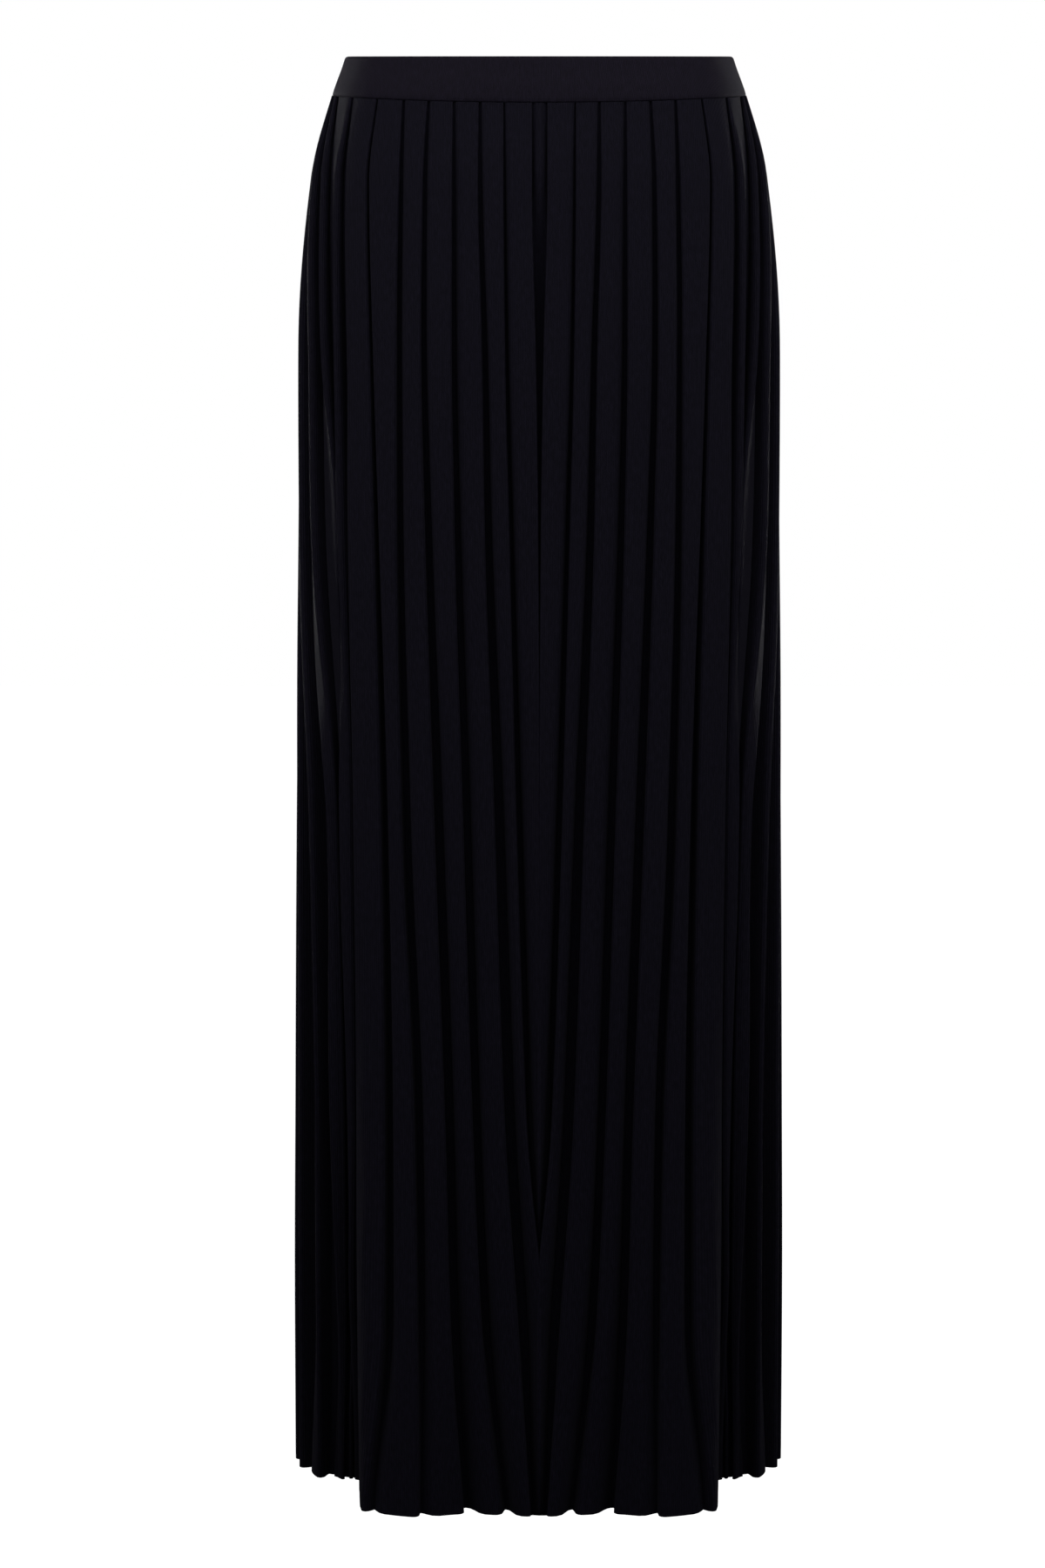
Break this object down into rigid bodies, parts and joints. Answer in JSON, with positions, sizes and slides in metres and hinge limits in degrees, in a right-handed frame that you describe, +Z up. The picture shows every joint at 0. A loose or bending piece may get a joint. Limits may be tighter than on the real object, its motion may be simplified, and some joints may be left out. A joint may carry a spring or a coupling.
{
  "type": "knitted maxi skirt",
  "caption": "Long knitted skirt with knife pleats hanging from a plain elastic waistband, hollow and open at the waist and hem.",
  "frame": {"origin": "centre of the waist opening, level with the waistband's top edge", "axes": "+Z up the skirt from hem to waist, the front faces -Y, +X to the right of someone looking at the front"},
  "size_m": [0.3398, 0.2465, 0.97],
  "materials": {
    "band_knit": "matt, close double knit, near-black navy",
    "pleat_knit": "matt, fine ribbed knit, near-black navy"
  },
  "bodies": {
    "root": {"waistband": "band_knit", "skirt_front": "pleat_knit", "skirt_back": "pleat_knit"}
  },
  "joints": []
}
